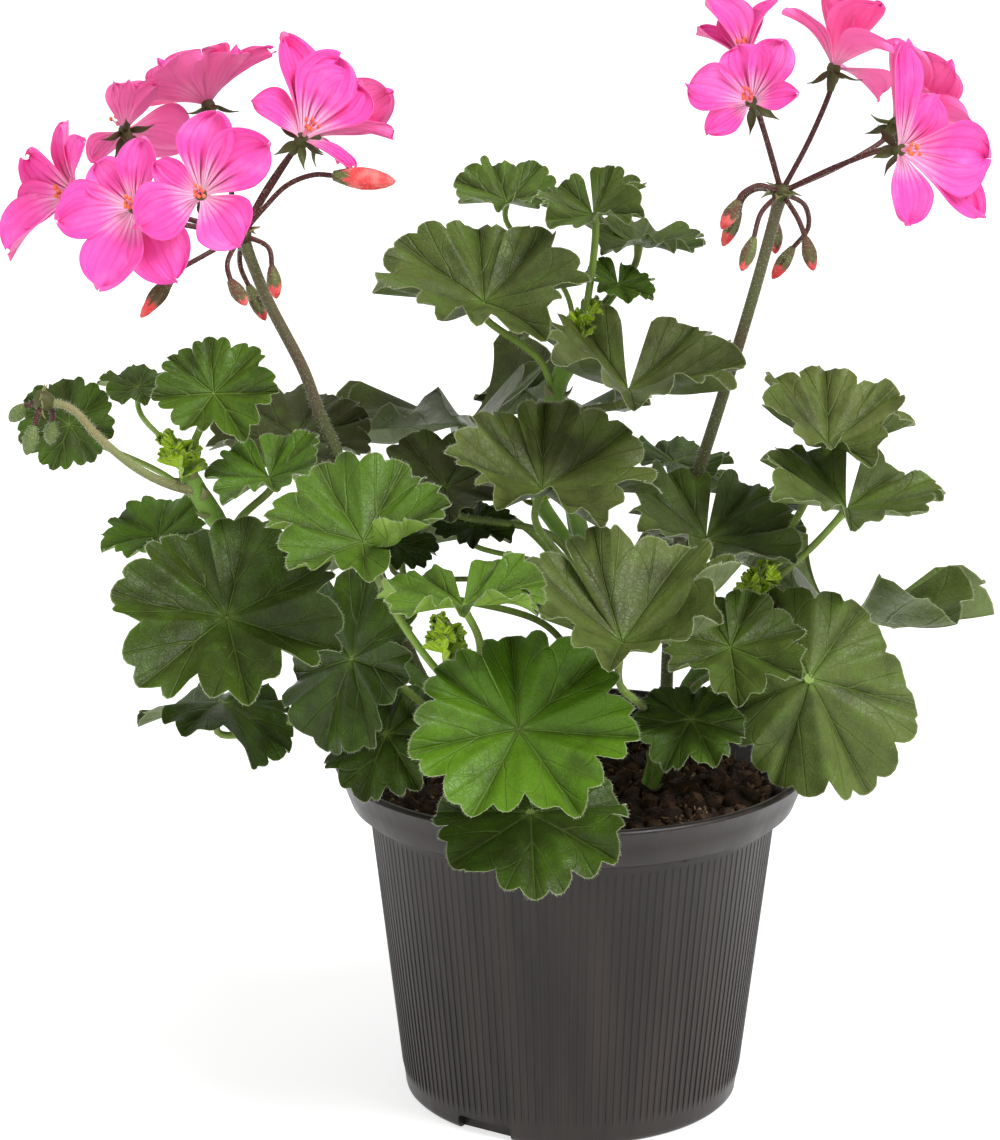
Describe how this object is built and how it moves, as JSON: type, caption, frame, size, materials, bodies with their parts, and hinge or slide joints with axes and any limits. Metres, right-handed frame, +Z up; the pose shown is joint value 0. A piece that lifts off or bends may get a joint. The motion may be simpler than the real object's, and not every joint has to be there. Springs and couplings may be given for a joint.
{
  "type": "potted pelargonium",
  "caption": "Young ivy-leaved pelargonium with two umbels of pink flowers and scalloped leaves on bent stems, in a dark plastic grow pot filled with compost.",
  "frame": {"origin": "on the pot's axis at the surface that the pot stands on", "axes": "+Z up along the pot's axis, -Y towards the front of the plant as pictured, +X to the right seen from the front"},
  "size_m": [0.2615, 0.1942, 0.302],
  "materials": {
    "pot_plastic": "satin moulded plastic, fine upright ribs",
    "compost_matter": "damp crumbled peat and bark",
    "stem_skin": "matt green skin, hairy",
    "peduncle_skin": "dull brown-green skin, finely hairy",
    "leaf_blade": "satin leaf, fine hairs on the margin",
    "petal": "soft silky petal, dark veins on the upper pair"
  },
  "bodies": {
    "root": {"pot": "pot_plastic", "compost": "compost_matter", "stem_back": "stem_skin", "stem_centre": "stem_skin", "stem_front": "stem_skin", "stem_left": "stem_skin", "stem_right": "stem_skin", "peduncle_buds": "peduncle_skin", "peduncle_left": "peduncle_skin", "peduncle_right": "peduncle_skin", "leaf_back_big": "leaf_blade", "leaf_back_low_left": "leaf_blade", "leaf_back_low_right": "leaf_blade", "leaf_back_mid": "leaf_blade", "leaf_back_right": "leaf_blade", "leaf_behind_right": "leaf_blade", "leaf_below_centre": "leaf_blade", "leaf_centre": "leaf_blade", "leaf_centre_right": "leaf_blade", "leaf_dark_left": "leaf_blade", "leaf_far_left": "leaf_blade", "leaf_front_centre": "leaf_blade", "leaf_front_left": "leaf_blade", "leaf_front_low": "leaf_blade", "leaf_left_back": "leaf_blade", "leaf_left_low": "leaf_blade", "leaf_left_low_2": "leaf_blade", "leaf_left_mid": "leaf_blade", "leaf_left_small": "leaf_blade", "leaf_left_top": "leaf_blade", "leaf_low_left": "leaf_blade", "leaf_low_left_2": "leaf_blade", "leaf_mid_left": "leaf_blade", "leaf_mid_left_2": "leaf_blade", "leaf_mid_low": "leaf_blade", "leaf_right_droop": "leaf_blade", "leaf_right_fold": "leaf_blade", "leaf_right_mid": "leaf_blade", "leaf_right_top": "leaf_blade", "leaf_rim_leaf": "leaf_blade", "leaf_small_right": "leaf_blade", "leaf_top_back": "leaf_blade", "leaf_top_left": "leaf_blade", "leaf_top_right": "leaf_blade", "leaf_upper_left": "leaf_blade", "leaf_upper_right": "leaf_blade", "leaf_upper_small": "leaf_blade", "leaf_young_pair": "leaf_blade", "flower_left_1": "petal", "flower_left_2": "petal", "flower_left_3": "petal", "flower_left_4": "petal", "flower_left_5": "petal", "flower_left_6": "petal", "flower_left_7": "petal", "flower_right_1": "petal", "flower_right_2": "petal", "flower_right_3": "petal", "flower_right_4": "petal", "flower_right_5": "petal"}
  },
  "joints": []
}
